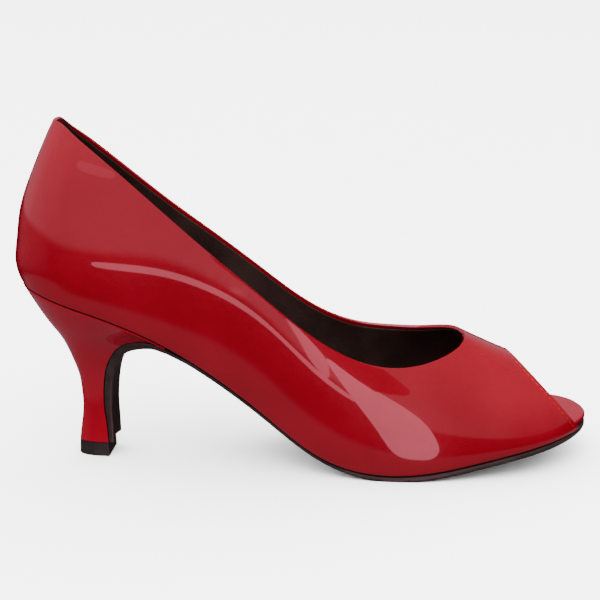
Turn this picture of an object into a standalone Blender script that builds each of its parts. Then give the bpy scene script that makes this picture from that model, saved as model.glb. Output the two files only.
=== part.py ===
"""Peep toe pump, right shoe, in patent leather on a covered heel.

Metres, +Z up, the toe along +X, the outer (lateral) side towards -Y. The origin is the
middle of the heel tip's flat underside, on the floor.

The shoe is first worked out on a straight last: X runs along the foot, and every height of
the upper's lower edge depends on X alone. The straight shoe is then swung into the curve of
a right foot by swing(), which all the pieces pass through.
"""

import math

import bmesh
import bpy
import numpy as np

# Lengths of the last and the upper
SHOE_LENGTH = 0.2247  # rearmost point of the counter to the tip of the toe
BACK_LENGTH = 0.0279  # rearmost point of the counter behind the middle of the heel tip
BALL_WIDTH = 0.0740  # across the upper's lower edge at the ball
INSTEP_HEIGHT = 0.0780  # ridge of the last above the sole in front of the ankle
HEEL_LIFT_HEIGHT = 0.0701  # the seat's back edge above the tread
TOE_SPRING_HEIGHT = 0.0109  # the toe's lower edge above the tread
COUNTER_HEIGHT = 0.0625  # back seam, from the seat to the topline
UPPER_THICKNESS = 0.0018  # patent leather with its lining

# The curve of a right foot
HEEL_TURN = math.radians(6.0)  # the heel's own axis, turned to the outer side
TOE_SWING = 0.0090  # the toe tip's place towards the inner side

# The peep toe, measured back from the tip of the toe
OPENING_TOP_LENGTH = 0.0312  # on the ridge of the vamp
OPENING_OUTER_LENGTH = 0.0088  # at the sole, outer side
OPENING_INNER_LENGTH = 0.0100  # at the sole, inner side

# Bottom pieces
SOLE_THICKNESS = 0.0018  # forepart of the outsole
FLAP_THICKNESS = 0.0034  # outsole where it runs down the front of the heel
SOLE_MARGIN = 0.0004  # outsole beyond the upper's lower edge at the forepart
TREAD_FLAT = 0.0004  # how deep the curve of the sole is levelled off under the ball
TREAD_FADE = 0.0020  # height of the sole's underside at which the levelling has faded out
INSOLE_THICKNESS = 0.0022
HEEL_SEAT_LENGTH = 0.0592  # heel's top, from the back to its front edge under the arch
HEEL_INSET = 0.0005  # heel's top edge inside the upper's lower edge
HEEL_LIP = 0.0006  # thickness of the heel's front edge under the arch
SOLE_DROP = 0.0100  # length over which the outsole sinks to pass below that edge
BREAST_SCOOP = 0.0014  # hollow of the heel's front
TIP_WIDTH = 0.0148
TIP_DEPTH = 0.0130
TIP_HEIGHT = 0.0055
TIP_FLARE = 0.0002  # the heel tip's foot beyond its top
GAP = 0.0003  # clearance between two pieces that meet

# Fineness of the meshes
WALL_ROWS = 13  # faces from the sole up to the topline
COUNTER_COLUMNS = 9  # faces round the back, each side
QUARTER_COLUMNS = 24  # faces from there to the throat, each side
VAMP_COLUMNS = 8  # faces from the throat to the toe opening, each side
SOLE_ROWS = 40  # faces along the outsole and the insole
SOLE_COLUMNS = 6  # faces across them
FLAP_ROWS = 22  # faces down the outsole's flap
HEEL_LEVELS = 20
HEEL_COLUMNS = 16  # points along each side of the heel

# The last, one row for each section from the back to the toe. station: share of SHOE_LENGTH.
# lift and spring: height of the lower edge as shares of HEEL_LIFT_HEIGHT and TOE_SPRING_HEIGHT. outer,
# inner, flare and shoulder: shares of BALL_WIDTH. ridge: share of INSTEP_HEIGHT above the
# lower edge. rise: height of the fullest part, as a share of the ridge's.
LAST = (
    # station, lift, spring, outer, inner, flare, rise, shoulder, ridge
    (0.000, 1.012, 0.00, 0.311, 0.311, 0.088, 0.30, 0.122, 1.126),
    (0.115, 0.893, 0.00, 0.320, 0.317, 0.088, 0.32, 0.135, 1.115),
    (0.225, 0.745, 0.00, 0.294, 0.294, 0.088, 0.32, 0.203, 1.078),
    (0.330, 0.539, 0.00, 0.284, 0.277, 0.095, 0.33, 0.284, 1.018),
    (0.420, 0.315, 0.00, 0.308, 0.307, 0.095, 0.33, 0.338, 1.009),
    (0.510, 0.096, 0.00, 0.386, 0.398, 0.088, 0.33, 0.365, 1.000),
    (0.600, 0.003, 0.00, 0.451, 0.482, 0.081, 0.34, 0.378, 0.900),
    (0.690, 0.000, 0.08, 0.491, 0.509, 0.068, 0.36, 0.365, 0.732),
    (0.800, 0.000, 0.52, 0.492, 0.459, 0.054, 0.40, 0.305, 0.498),
    (0.900, 0.000, 0.88, 0.476, 0.410, 0.047, 0.48, 0.240, 0.315),
    (1.000, 0.000, 1.02, 0.405, 0.440, 0.041, 0.60, 0.200, 0.190),
)

# The counter, from the seat up. height: share of COUNTER_HEIGHT above the seat's back edge.
# setback: how far the back seam lies in front of the rearmost point, as a share of
# COUNTER_HEIGHT. round: length of the rounded back, as a share of BALL_WIDTH.
COUNTER = (
    # height, setback, round
    (0.000, 0.027, 0.378),
    (0.088, 0.000, 0.378),
    (0.256, 0.011, 0.358),
    (0.448, 0.040, 0.324),
    (0.656, 0.111, 0.277),
    (0.858, 0.196, 0.230),
    (1.000, 0.264, 0.203),
    (1.280, 0.430, 0.189),
    (1.760, 0.680, 0.189),
)

# The topline, from the back seam to the throat. Heights are above the lower edge at the
# same station, as shares of COUNTER_HEIGHT.
TOPLINE = (
    # station, outer, inner
    (0.074, 1.060, 1.060),
    (0.084, 1.076, 1.012),
    (0.095, 1.078, 0.984),
    (0.120, 1.044, 0.942),
    (0.180, 0.950, 0.850),
    (0.250, 0.855, 0.772),
    (0.340, 0.778, 0.742),
    (0.430, 0.757, 0.744),
    (0.515, 0.740, 0.740),
    (0.595, 0.690, 0.703),
    (0.675, 0.664, 0.672),
    (0.730, 0.668, 0.658),
    (0.775, 0.685, 0.685),
    (0.820, 0.740, 0.740),
)

# The outsole, one row for each station. thickness: share of SOLE_THICKNESS. margin beyond
# the upper's lower edge: share of SOLE_MARGIN.
SOLE = (
    # station, thickness, margin
    (0.00, 0.66, -1.2),
    (0.25, 0.66, -1.2),
    (0.40, 0.60, -2.0),
    (0.48, 0.52, -2.4),
    (0.56, 0.74, -1.0),
    (0.64, 1.00, 0.3),
    (0.82, 1.00, 1.0),
    (0.93, 0.95, 0.0),
    (1.00, 0.80, -2.2),
)

# The heel from its foot to the seat. Each value runs from 0 at the foot to 1 at the seat:
# the back edge's place and height, the front edge's place and height, the half width, and
# how much of the seat's outline the level has taken on. scoop: share of BREAST_SCOOP.
# flap: share of FLAP_THICKNESS that the outsole has in front of this level.
HEEL = (
    # back_x, back_z, front_x, front_z, width, seat, scoop, flap
    (0.000, 0.000, 0.000, 0.000, 0.00, 0.00, 1.0, 0.60),
    (-0.047, 0.099, -0.024, 0.187, -0.02, 0.00, 1.0, 0.74),
    (-0.090, 0.210, -0.056, 0.382, -0.02, 0.02, 1.0, 0.92),
    (-0.078, 0.302, -0.034, 0.610, 0.02, 0.06, 1.0, 1.00),
    (-0.038, 0.403, 0.042, 0.785, 0.10, 0.14, 0.9, 1.00),
    (0.093, 0.526, 0.225, 0.945, 0.28, 0.33, 0.6, 0.97),
    (0.285, 0.655, 0.490, 1.022, 0.52, 0.56, 0.3, 0.85),
    (0.590, 0.787, 0.785, 1.036, 0.76, 0.80, 0.1, 0.62),
    (1.000, 1.000, 1.000, 1.000, 1.00, 1.00, 0.0, 0.35),
)

TOE_ROUND = 0.200  # length of the rounded toe, as a share of SHOE_LENGTH
BACK_POWER = 2.35  # fullness of the rounded back, 2 being an ellipse
TOE_POWER = 2.2  # fullness of the rounded toe
HEEL_POWER = 2.8  # fullness of the heel tip's rounded back
SETTLE_FROM_BACK = 0.38  # where the sections are upright again, as a share of SHOE_LENGTH

BACK = -BACK_LENGTH
TOE = SHOE_LENGTH - BACK_LENGTH
BACK_ROUND = COUNTER[0][2] * BALL_WIDTH
SEAT_EDGE = SOLE_THICKNESS + GAP + HEEL_LIFT_HEIGHT
HEEL_FOOT = TIP_HEIGHT + GAP


def smooth(places, values):
    """A natural cubic spline through the given values."""
    places = np.asarray(places, float)
    values = np.asarray(values, float)
    count = len(places)
    step = np.diff(places)
    matrix = np.eye(count)
    right = np.zeros(count)
    for i in range(1, count - 1):
        matrix[i, i - 1 : i + 2] = step[i - 1], 2 * (step[i - 1] + step[i]), step[i]
        rise_after = (values[i + 1] - values[i]) / step[i]
        rise_before = (values[i] - values[i - 1]) / step[i - 1]
        right[i] = 6 * (rise_after - rise_before)
    bend = np.linalg.solve(matrix, right)

    def at(place):
        place = np.clip(np.asarray(place, float), places[0], places[-1])
        i = np.clip(np.searchsorted(places, place) - 1, 0, count - 2)
        before = place - places[i]
        after = places[i + 1] - place
        wide = step[i]
        return (
            (bend[i] * after**3 + bend[i + 1] * before**3) / (6 * wide)
            + (values[i] / wide - bend[i] * wide / 6) * after
            + (values[i + 1] / wide - bend[i + 1] * wide / 6) * before
        )

    return at


def column(table, index, scale=1.0, places=0, start=0.0, length=1.0):
    """A spline through one column of a table, over the column that gives its places."""
    return smooth(
        [start + row[places] * length for row in table],
        [row[index] * scale for row in table],
    )


def along_last(index, scale=1.0):
    return column(LAST, index, scale, 0, BACK, SHOE_LENGTH)


lift_at = along_last(1, HEEL_LIFT_HEIGHT)
spring_at = along_last(2, TOE_SPRING_HEIGHT)
outer_at = along_last(3, BALL_WIDTH)
inner_at = along_last(4, BALL_WIDTH)
flare_at = along_last(5, BALL_WIDTH)
rise_at = along_last(6)
shoulder_at = along_last(7, BALL_WIDTH)
ridge_at = along_last(8, INSTEP_HEIGHT)
setback_at = column(COUNTER, 1, COUNTER_HEIGHT, 0, 0.0, COUNTER_HEIGHT)
round_at = column(COUNTER, 2, BALL_WIDTH, 0, 0.0, COUNTER_HEIGHT)
topline_at = {
    -1: column(TOPLINE, 1, COUNTER_HEIGHT, 0, BACK, SHOE_LENGTH),
    1: column(TOPLINE, 2, COUNTER_HEIGHT, 0, BACK, SHOE_LENGTH),
}


def edge_height(x):
    """Height of the upper's lower edge, where the insole and the sole meet it."""
    return SOLE_THICKNESS + GAP + lift_at(x) + spring_at(x)


def swing(points):
    """Bends the straight shoe into the curve of a right foot. Heights stay."""
    points = np.asarray(points, float)
    x, y, z = points[..., 0], points[..., 1], points[..., 2]
    turn = math.tan(HEEL_TURN)
    bend = (TOE_SWING + turn * TOE) / TOE**2
    slope = 2 * bend * x - turn
    scale = np.sqrt(1 + slope**2)
    return np.stack(
        [x - y * slope / scale, bend * x**2 - turn * x + y / scale, z], axis=-1
    )


def section(x, share, side):
    """Half width and height on the last's section at x, from lower edge (0) to ridge (1)."""
    width = outer_at(x) if side < 0 else inner_at(x)
    edge = edge_height(x)
    ridge = ridge_at(x)
    a = (1 - share) ** 3
    b = 3 * (1 - share) ** 2 * share
    c = 3 * (1 - share) * share**2
    half = a * width + b * (width + flare_at(x)) + c * shoulder_at(x)
    height = edge + b * rise_at(x) * ridge + (c + share**3) * ridge
    return half, height


def rounding(x, height):
    """How much of the section's width is left at the rounded back and toe."""
    above = np.clip(height - SEAT_EDGE, 0.0, COUNTER[-1][0] * COUNTER_HEIGHT)
    long = round_at(above)
    back = np.clip((BACK + setback_at(above) + long - x) / long, 0, 1)
    toe = np.clip((x - (TOE - TOE_ROUND * SHOE_LENGTH)) / (TOE_ROUND * SHOE_LENGTH), 0, 1)
    return (1 - back**BACK_POWER) ** (1 / BACK_POWER) * (
        1 - toe**TOE_POWER
    ) ** (1 / TOE_POWER)


def on_last(station, share, side):
    """Point of the straight last. The stations at the back lean with the counter."""
    station, share = np.broadcast_arrays(
        np.asarray(station, float), np.asarray(share, float)
    )
    upright = BACK + SETTLE_FROM_BACK * SHOE_LENGTH
    x = station.copy()
    for _ in range(12):
        height = section(x, share, side)[1]
        above = np.clip(height - SEAT_EDGE, 0.0, COUNTER[-1][0] * COUNTER_HEIGHT)
        back = BACK + setback_at(above)
        bend = back + round_at(above)
        rounded = back + (station - BACK) / BACK_ROUND * (bend - back)
        straight = BACK + BACK_ROUND
        leaning = bend + (station - straight) * (upright - bend) / (upright - straight)
        x = np.where(
            station < straight, rounded, np.where(station < upright, leaning, station)
        )
    half, height = section(x, share, side)
    return np.stack([x, side * half * rounding(x, height), height], axis=-1)


def topline_share(station, side):
    """Share of the section at which the topline cuts it. Both sides share the back seam."""
    shares = np.linspace(0.05, 1.0, 400)
    points = on_last(np.full(shares.shape, station), shares, side)
    x = points[:, 0]
    cut = topline_at[side] if station > BACK else topline_at[-1]
    over = points[:, 2] - edge_height(x) - cut(x)
    if over.max() <= 0:
        return 1.0
    i = int(np.argmax(over > 0))
    return shares[i - 1] + (shares[i] - shares[i - 1]) * over[i - 1] / (
        over[i - 1] - over[i]
    )


def throat_station():
    """Where the topline reaches the ridge of the vamp."""
    x = np.linspace(BACK + 0.6 * SHOE_LENGTH, TOE - OPENING_TOP_LENGTH, 2000)
    over = topline_at[-1](x) - ridge_at(x)
    i = int(np.argmax(over > 0))
    return x[i - 1] + (x[i] - x[i - 1]) * over[i - 1] / (over[i - 1] - over[i])


def opening_plane():
    """A point and the forward normal of the plane that cuts the toe open."""
    top = on_last(TOE - OPENING_TOP_LENGTH, 1.0, -1)
    outer = on_last(TOE - OPENING_OUTER_LENGTH, 0.0, -1)
    inner = on_last(TOE - OPENING_INNER_LENGTH, 0.0, 1)
    normal = np.cross(outer - top, inner - top)
    return top, normal / np.linalg.norm(normal) * np.sign(normal[0])


def opening_station(share, side):
    """Station at which the toe opening cuts the line of this share."""
    top, normal = opening_plane()
    stations = np.linspace(TOE - 2 * OPENING_TOP_LENGTH, TOE - 1e-5, 800)
    over = (on_last(stations, np.full(stations.shape, share), side) - top) @ normal
    i = int(np.argmax(over > 0))
    return stations[i - 1] + (stations[i] - stations[i - 1]) * over[i - 1] / (
        over[i - 1] - over[i]
    )


def make_object(name, vertices, faces, material, sharp=35.0):
    mesh = bpy.data.meshes.new(name)
    mesh.from_pydata([tuple(v) for v in vertices], [], faces)
    work = bmesh.new()
    work.from_mesh(mesh)
    bmesh.ops.remove_doubles(work, verts=work.verts, dist=1e-6)
    bmesh.ops.recalc_face_normals(work, faces=work.faces)
    work.to_mesh(mesh)
    work.free()
    mesh.shade_smooth()
    mesh.set_sharp_from_angle(angle=math.radians(sharp))
    mesh.materials.append(material)
    piece = bpy.data.objects.new(name, mesh)
    shoe.objects.link(piece)
    return piece


def rim_of(sheet):
    """Indices (row, place) round a sheet of rows, whose end rows may be one point."""
    last = len(sheet) - 1
    front = [(0, j) for j in range(len(sheet[0]))]
    right = [(i, len(sheet[i]) - 1) for i in range(1, last)]
    end = [(last, j) for j in reversed(range(len(sheet[last])))]
    left = [(i, 0) for i in reversed(range(1, last))]
    return front + right + end + left


def stacked_solid(name, sheets, material, sharp=35.0):
    """Closed solid from sheets of rows laid over each other, all with the same layout.

    The first and last sheets are faced all over, the ones between only give their rims.
    """
    rim = rim_of(sheets[0])
    vertices = []
    index = {}
    for level, sheet in enumerate(sheets):
        whole = level in (0, len(sheets) - 1)
        wanted = (
            [(i, j) for i, row in enumerate(sheet) for j in range(len(row))]
            if whole
            else rim
        )
        for i, j in wanted:
            index[level, i, j] = len(vertices)
            vertices.append(sheet[i][j])
    faces = []
    for level in (0, len(sheets) - 1):
        sheet = sheets[level]
        for i in range(len(sheet) - 1):
            one, two = len(sheet[i]), len(sheet[i + 1])
            for j in range(max(one, two) - 1):
                corners = [
                    (i, min(j, one - 1)),
                    (i, min(j + 1, one - 1)),
                    (i + 1, min(j + 1, two - 1)),
                    (i + 1, min(j, two - 1)),
                ]
                face = list(dict.fromkeys(index[(level, *c)] for c in corners))
                faces.append(face if level else face[::-1])
    for level in range(len(sheets) - 1):
        for one, two in zip(rim, rim[1:] + rim[:1]):
            faces.append(
                [
                    index[(level, *one)],
                    index[(level, *two)],
                    index[(level + 1, *two)],
                    index[(level + 1, *one)],
                ]
            )
    return make_object(name, vertices, faces, material, sharp)


def across(outer, inner, height):
    """A row of points from the outer to the inner side, at the height that goes with x."""
    shares = np.linspace(0, 1, SOLE_COLUMNS + 1)[:, None]
    flat = outer[None, :2] * (1 - shares) + inner[None, :2] * shares
    return np.column_stack([flat, height(flat[:, 0])])


def outline(stations, side, inset):
    """The lower edge in plan, moved inwards by inset. The ends lie on the middle line."""
    flat = on_last(stations, np.zeros(len(stations)), side)[:, :2]
    along = np.gradient(flat, axis=0)
    along[0] = along[-1] = (0.0, 1.0)
    inward = np.column_stack([along[:, 1], -along[:, 0]]) * side
    inward[0] = (1.0, 0.0)
    inward[-1] = (-1.0, 0.0)
    inward /= np.linalg.norm(inward, axis=1)[:, None]
    moved = flat + inward * np.asarray(inset, float)[:, None]
    moved[[0, -1], 1] = 0.0
    return moved


def plate_stations(start, count):
    """Stations from start to the toe tip, closer together where the outline turns."""
    turns = np.linspace(0, math.pi, count + 1)
    even = np.linspace(0, 1, count + 1)
    return start + (TOE - start) * (0.5 * (1 - np.cos(turns)) * 0.7 + even * 0.3)


def build_upper():
    """One wall round the foot, open at the topline, the toe and the sole."""
    throat = throat_station()
    turns = np.linspace(0, math.pi / 2, COUNTER_COLUMNS + 1)
    straight = BACK + BACK_ROUND
    closing = 1 - (1 - np.linspace(0, 1, QUARTER_COLUMNS + 1)) ** 1.7
    stations = np.concatenate(
        [
            BACK + BACK_ROUND * (1 - np.cos(turns)),
            straight + (throat - straight) * closing[1:],
        ]
    )
    shares = np.linspace(0, 1, WALL_ROWS + 1)
    vertices = []
    faces = []
    for side in (-1, 1):
        columns = []
        for station in stations:
            top = 1.0 if station >= throat else topline_share(station, side)
            columns.append(on_last(station, shares * top, side))
        cut = np.array([opening_station(share, side) for share in shares])
        for step in range(1, VAMP_COLUMNS + 1):
            reached = throat + (cut - throat) * step / VAMP_COLUMNS
            columns.append(on_last(reached, shares, side))
        first = len(vertices)
        vertices.extend(swing(np.concatenate(columns)))
        rows = len(shares)
        for i in range(len(columns) - 1):
            for j in range(rows - 1):
                corner = first + i * rows + j
                face = [corner, corner + rows, corner + rows + 1, corner + 1]
                faces.append(face if side < 0 else face[::-1])
    upper = make_object("upper", vertices, faces, patent, sharp=50.0)
    wall = upper.modifiers.new("Wall", "SOLIDIFY")
    wall.thickness = UPPER_THICKNESS
    wall.offset = -1.0
    wall.use_even_offset = True
    return upper


def build_insole():
    """The board with its sock: inside the wall, and out to the edge in the open toe."""
    stations = plate_stations(BACK, SOLE_ROWS)
    inside = UPPER_THICKNESS + 2 * GAP
    sheets = []
    for raised, drawn_in in ((0.0, 0.3), (0.25, 0.0), (0.75, 0.0), (1.0, 0.25)):
        sides = {}
        for side, reach in ((-1, OPENING_OUTER_LENGTH), (1, OPENING_INNER_LENGTH)):
            free = np.clip((stations - (TOE - reach)) / reach, 0, 1)
            inset = inside * (1 - free) + GAP * free + drawn_in * INSOLE_THICKNESS
            sides[side] = outline(stations, side, inset)
        height = raised * INSOLE_THICKNESS
        rows = [
            across(one, two, lambda x: edge_height(x) + height)
            for one, two in zip(sides[-1], sides[1])
        ]
        rows[0] = rows[0][:1]
        rows[-1] = rows[-1][:1]
        sheets.append([swing(row) for row in rows])
    return stacked_solid("insole", sheets, leather, sharp=60.0)


def heel_levels():
    """Splines for the heel's table, over a level that runs from 0 (foot) to 1 (seat)."""
    count = len(HEEL) - 1
    table = [(i / count, *row) for i, row in enumerate(HEEL)]
    names = ("back_x", "back_z", "front_x", "front_z", "width", "seat", "scoop", "flap")
    return {name: column(table, i + 1) for i, name in enumerate(names)}


def seat_outline(side):
    """The seat in plan from its front corner round to the back, inside the upper's edge."""
    turns = np.linspace(0, math.pi / 2, HEEL_COLUMNS + 1)
    front = BACK + HEEL_SEAT_LENGTH
    stations = BACK + (front - BACK) * (1 - np.sin(turns))
    dense = np.linspace(BACK, front + 0.01, 400)
    inset = np.full(400, HEEL_INSET)
    flat = on_last(dense, np.zeros(400), side)[:, :2]
    along = np.gradient(flat, axis=0)
    inward = np.column_stack([along[:, 1], -along[:, 0]]) * side
    inward /= np.linalg.norm(inward, axis=1)[:, None]
    flat = flat + inward * inset[:, None]
    back = flat[0, 0]
    wanted = back + (stations - BACK) * (front - back) / (front - BACK)
    half = np.interp(wanted, flat[:, 0], flat[:, 1])
    half[-1] = 0.0
    return np.column_stack([wanted, half])


def foot_outline(side, back, front, half):
    """The heel's foot in plan, a flat front and a rounded back, laid out as the seat is."""
    turns = np.linspace(0, math.pi / 2, HEEL_COLUMNS + 1)
    x = back + (front - back) * (1 - np.sin(turns))
    reach = (front - x) / (front - back)
    y = side * half * (1 - reach**HEEL_POWER) ** (1 / HEEL_POWER)
    return np.column_stack([x, y])


def heel_frame(level, table):
    """Back and front edge and half width of the heel at one level."""
    foot_back, foot_front = -TIP_DEPTH / 2 + TIP_FLARE, TIP_DEPTH / 2 - TIP_FLARE
    seat = seat_outline(-1)
    seat_back, seat_front = seat[-1, 0], seat[0, 0]
    foot_half = TIP_WIDTH / 2
    seat_half = np.abs(seat[:, 1]).max()
    back_top = edge_height(seat_back) - GAP - HEEL_LIP
    front_top = edge_height(seat_front) - GAP - HEEL_LIP
    row = {name: float(values(level)) for name, values in table.items()}
    return {
        "back": foot_back + row["back_x"] * (seat_back - foot_back),
        "front": foot_front + row["front_x"] * (seat_front - foot_front),
        "back_z": HEEL_FOOT + row["back_z"] * (back_top - HEEL_FOOT),
        "front_z": HEEL_FOOT + row["front_z"] * (front_top - HEEL_FOOT),
        "half": foot_half + row["width"] * (seat_half - foot_half),
        "seat": row["seat"],
        "scoop": row["scoop"] * BREAST_SCOOP,
    }


def heel_sheet(frame):
    """One level of the heel: rows from its front edge to its back."""
    seat = {side: seat_outline(side) for side in (-1, 1)}
    half_seat = np.abs(seat[-1][:, 1]).max()
    blend = frame["seat"]
    sides = {}
    for side in (-1, 1):
        unit = foot_outline(side, 0.0, 1.0, 1.0)
        top = seat[side]
        reach = (top[:, 0] - top[-1, 0]) / (top[0, 0] - top[-1, 0])
        x = unit[:, 0] * (1 - blend) + reach * blend
        y = unit[:, 1] * (1 - blend) + top[:, 1] / half_seat * blend
        sides[side] = np.column_stack(
            [frame["back"] + x * (frame["front"] - frame["back"]), y * frame["half"]]
        )
    front_top = edge_height(seat[-1][0, 0])
    back_top = edge_height(seat[-1][-1, 0])
    rows = []
    for one, two in zip(sides[-1], sides[1]):
        shares = np.linspace(0, 1, SOLE_COLUMNS + 1)[:, None]
        flat = one[None] * (1 - shares) + two[None] * shares
        forward = (flat[:, 0] - frame["back"]) / (frame["front"] - frame["back"])
        height = frame["back_z"] + forward * (frame["front_z"] - frame["back_z"])
        seat_x = seat[-1][-1, 0] + forward * (seat[-1][0, 0] - seat[-1][-1, 0])
        crown = edge_height(seat_x) - back_top - forward * (front_top - back_top)
        hollow = frame["scoop"] * (1 - (2 * shares[:, 0] - 1) ** 2) * forward**4
        rows.append(
            np.column_stack([flat[:, 0] - hollow, flat[:, 1], height + crown * blend])
        )
    rows[-1] = rows[-1][:1]
    return rows


def build_heel():
    """The covered heel: a slim column that spreads into the seat and under the arch."""
    table = heel_levels()
    sheets = [
        heel_sheet(heel_frame(level, table))
        for level in np.linspace(0, 1, HEEL_LEVELS + 1)
    ]
    sheets.append([row + (0.0, 0.0, HEEL_LIP) for row in sheets[-1]])
    sheets = [[swing(row) for row in sheet] for sheet in sheets]
    return stacked_solid("heel", sheets, covered, sharp=40.0)


def build_outsole():
    """One thin sole from the toe to the arch that runs on down the front of the heel."""
    table = heel_levels()
    thickness_at = column(SOLE, 1, SOLE_THICKNESS, 0, BACK, SHOE_LENGTH)
    margin_at = column(SOLE, 2, SOLE_MARGIN, 0, BACK, SHOE_LENGTH)
    start = BACK + HEEL_SEAT_LENGTH
    stations = plate_stations(BACK, 2 * SOLE_ROWS)
    sides = {side: outline(stations, side, -margin_at(stations)) for side in (-1, 1)}
    wanted = [i for i in range(len(stations)) if stations[i] > start + 2 * GAP][::-1]
    rows = []
    thick = []
    for i in wanted:
        near = np.clip((start + SOLE_DROP - stations[i]) / SOLE_DROP, 0, 1)
        under = GAP + HEEL_LIP * near * near * (3 - 2 * near)
        rows.append(across(sides[-1][i], sides[1][i], lambda x: edge_height(x) - under))
        thick.append(float(thickness_at(stations[i])))
    for level in np.linspace(1.0, 0.0, FLAP_ROWS + 1):
        sheet = heel_sheet(heel_frame(level, table))
        rows.append(sheet[0])
        thick.append(FLAP_THICKNESS * float(table["flap"](level)))
    middle = np.array([row[len(row) // 2] for row in rows])
    along = np.gradient(middle[:, [0, 2]], axis=0)
    along /= np.linalg.norm(along, axis=1)[:, None]
    down = np.column_stack([-along[:, 1], along[:, 0]])
    sheets = []
    for depth in (0.0, 1.0):
        sheet = []
        for i, row in enumerate(rows):
            on_heel = i >= len(wanted)
            shift = thick[i] * depth + (GAP if on_heel else 0.0)
            moved = row.copy()
            moved[:, 0] += down[i, 0] * shift
            moved[:, 2] += down[i, 1] * shift
            if depth and not on_heel:
                fading = np.clip(1 - moved[:, 2] / TREAD_FADE, 0, 1)
                moved[:, 2] = np.maximum(moved[:, 2] - TREAD_FLAT * fading, 0.0)
            sheet.append(moved)
        sheet[0] = sheet[0][:1]
        sheets.append([swing(row) for row in sheet])
    return stacked_solid("outsole", sheets, rubber, sharp=40.0)


def build_heel_tip():
    """The top piece under the heel, flat on the floor."""
    sheets = []
    for height, grown in ((0.0, TIP_FLARE), (TIP_HEIGHT, 0.0)):
        back, front = -TIP_DEPTH / 2, TIP_DEPTH / 2
        half = TIP_WIDTH / 2 - TIP_FLARE + grown
        sides = {
            side: foot_outline(side, back + TIP_FLARE - grown, front - TIP_FLARE + grown, half)
            for side in (-1, 1)
        }
        rows = [
            across(one, two, lambda x: np.full(x.shape, height))
            for one, two in zip(sides[-1], sides[1])
        ]
        rows[-1] = rows[-1][:1]
        sheets.append([swing(row) for row in rows])
    return stacked_solid("heel_tip", sheets, rubber, sharp=40.0)


def make_material(name, colour, roughness, coat=0.0):
    material = bpy.data.materials.new(name)
    material.use_nodes = True
    shader = material.node_tree.nodes["Principled BSDF"]
    shader.inputs["Base Color"].default_value = (*colour, 1.0)
    shader.inputs["Roughness"].default_value = roughness
    shader.inputs["Metallic"].default_value = 0.0
    shader.inputs["Coat Weight"].default_value = coat
    return material


for old in list(bpy.data.objects):
    bpy.data.objects.remove(old)
shoe = bpy.data.collections.new("peep_toe_pump")
bpy.context.scene.collection.children.link(shoe)

patent = make_material("patent_leather", (0.45, 0.008, 0.018), 0.30, 1.0)
covered = make_material("heel_cover", (0.42, 0.008, 0.016), 0.30, 1.0)
leather = make_material("insole_leather", (0.30, 0.020, 0.028), 0.35, 0.6)
rubber = make_material("sole_resin", (0.012, 0.010, 0.010), 0.45)

build_upper()
build_insole()
build_heel()
build_outsole()
build_heel_tip()
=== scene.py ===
# %% [markdown]
# # A peep toe pump in red patent leather
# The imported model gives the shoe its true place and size. This lesson dresses it: a patent
# leather upper with rolled edges and a stitched toe opening, a dark lining, a covered heel, and a thin
# dark sole that runs on down the front of the heel. Every piece is a mesh worked out from the
# same last, so all of them meet where a shoemaker's pieces meet.

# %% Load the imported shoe
import math

import bmesh
import bpy
import numpy as np
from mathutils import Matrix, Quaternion, Vector


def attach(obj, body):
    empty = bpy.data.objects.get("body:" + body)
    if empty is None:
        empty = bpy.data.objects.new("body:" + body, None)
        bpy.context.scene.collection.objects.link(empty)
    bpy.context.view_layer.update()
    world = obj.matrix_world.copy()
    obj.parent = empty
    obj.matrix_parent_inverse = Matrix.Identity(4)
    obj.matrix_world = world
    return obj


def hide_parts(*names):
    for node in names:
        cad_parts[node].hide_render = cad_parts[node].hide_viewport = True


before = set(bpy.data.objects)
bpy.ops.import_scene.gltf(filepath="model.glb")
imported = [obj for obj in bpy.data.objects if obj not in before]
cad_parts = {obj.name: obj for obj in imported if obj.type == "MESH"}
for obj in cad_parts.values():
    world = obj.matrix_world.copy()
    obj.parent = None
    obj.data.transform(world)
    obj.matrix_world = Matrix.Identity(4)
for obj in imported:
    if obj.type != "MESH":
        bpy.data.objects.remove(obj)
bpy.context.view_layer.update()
print("solids:", sorted(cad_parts))

# %% [markdown]
# ## Sizes
# All lengths are in metres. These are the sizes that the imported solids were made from. The
# shoe is first worked out straight, with X along the foot, and then bent into the curve of a
# right foot.

# %% Sizes of the last and the upper
SHOE_LENGTH = 0.2247
BACK_LENGTH = 0.0279
BALL_WIDTH = 0.0740
INSTEP_HEIGHT = 0.0780
HEEL_LIFT_HEIGHT = 0.0701
TOE_SPRING_HEIGHT = 0.0109
COUNTER_HEIGHT = 0.0625
UPPER_THICKNESS = 0.0018
HEEL_TURN = math.radians(6.0)
TOE_SWING = 0.0090
OPENING_TOP_LENGTH = 0.0312
OPENING_OUTER_LENGTH = 0.0088
OPENING_INNER_LENGTH = 0.0100

# %% Sizes of the bottom pieces
SOLE_THICKNESS = 0.0018
FLAP_THICKNESS = 0.0034
SOLE_MARGIN = 0.0004
TREAD_FLAT = 0.0004
TREAD_FADE = 0.0020
INSOLE_THICKNESS = 0.0022
HEEL_SEAT_LENGTH = 0.0592
HEEL_INSET = 0.0005
HEEL_LIP = 0.0006
SOLE_DROP = 0.0100
BREAST_SCOOP = 0.0014
TIP_WIDTH = 0.0148
TIP_DEPTH = 0.0130
TIP_HEIGHT = 0.0055
TIP_FLARE = 0.0002
GAP = 0.0003

BACK = -BACK_LENGTH
TOE = SHOE_LENGTH - BACK_LENGTH
SEAT_EDGE = SOLE_THICKNESS + GAP + HEEL_LIFT_HEIGHT
HEEL_FOOT = TIP_HEIGHT + GAP
TOE_ROUND = 0.200
BACK_POWER = 2.35
TOE_POWER = 2.2
HEEL_POWER = 2.8
SETTLE_FROM_BACK = 0.38

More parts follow.
